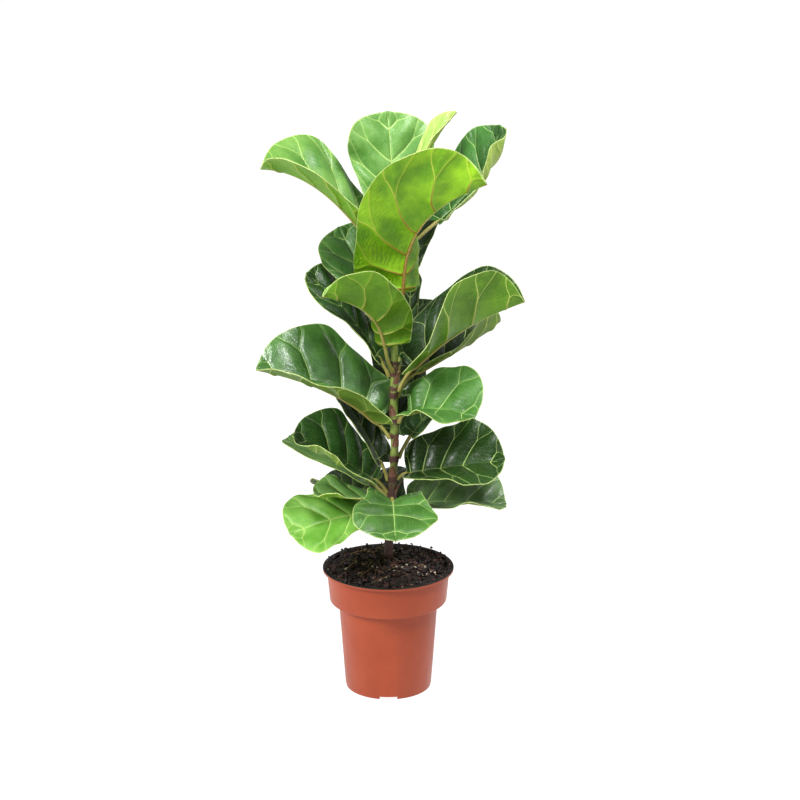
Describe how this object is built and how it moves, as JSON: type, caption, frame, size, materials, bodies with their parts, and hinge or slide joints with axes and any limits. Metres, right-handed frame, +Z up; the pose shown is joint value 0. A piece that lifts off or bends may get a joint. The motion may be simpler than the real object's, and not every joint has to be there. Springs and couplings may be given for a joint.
{
  "type": "potted fiddle leaf fig",
  "caption": "Young indoor fig plant with one upright stem, broad violin-shaped veined leaves that arch outwards, and a stepped terracotta-coloured nursery pot filled with bark soil.",
  "frame": {"origin": "centre of the pot's flat underside, at the level it stands on", "axes": "+Z up along the pot's axis and the stem; -Y towards the front, +X to the right seen from the front"},
  "size_m": [0.237, 0.1811, 0.5302],
  "materials": {
    "pot": "satin moulded plastic, terracotta colour",
    "soil": "damp peat and bark crumbs",
    "stem": "young bark, green above and brown at the foot",
    "husk": "dry papery sheath",
    "bud": "smooth and waxy",
    "leaf_mature": "waxy, glossy above and paler below",
    "leaf_young": "waxy, glossy above and bright below"
  },
  "bodies": {
    "root": {"leaf_back_low": "leaf_mature", "leaf_back_low_right": "leaf_mature", "leaf_back_middle": "leaf_mature", "leaf_back_middle_right": "leaf_mature", "leaf_back_upper": "leaf_mature", "leaf_bottom_front": "leaf_mature", "leaf_bottom_left": "leaf_mature", "leaf_bottom_left_back": "leaf_mature", "leaf_bottom_right": "leaf_mature", "leaf_crown_back": "leaf_young", "leaf_crown_front": "leaf_young", "leaf_crown_left": "leaf_young", "leaf_crown_right": "leaf_young", "leaf_lower_left": "leaf_mature", "leaf_lower_left_far": "leaf_mature", "leaf_lower_left_inner": "leaf_mature", "leaf_lower_left_under": "leaf_mature", "leaf_lower_right": "leaf_mature", "leaf_middle_left": "leaf_mature", "leaf_middle_right": "leaf_mature", "leaf_middle_right_back": "leaf_mature", "leaf_upper_front": "leaf_mature", "leaf_upper_left": "leaf_mature", "leaf_upper_left_low": "leaf_mature", "leaf_upper_right": "leaf_mature", "leaf_upper_right_inner": "leaf_mature", "leaf_upper_right_low": "leaf_mature", "leaf_youngest": "leaf_young", "pot": "pot", "soil": "soil", "stem": "stem", "stipule_1": "husk", "stipule_2": "husk", "stipule_3": "husk", "stipule_4": "husk", "stipule_5": "husk", "stipule_6": "husk", "terminal_bud": "bud"}
  },
  "joints": []
}
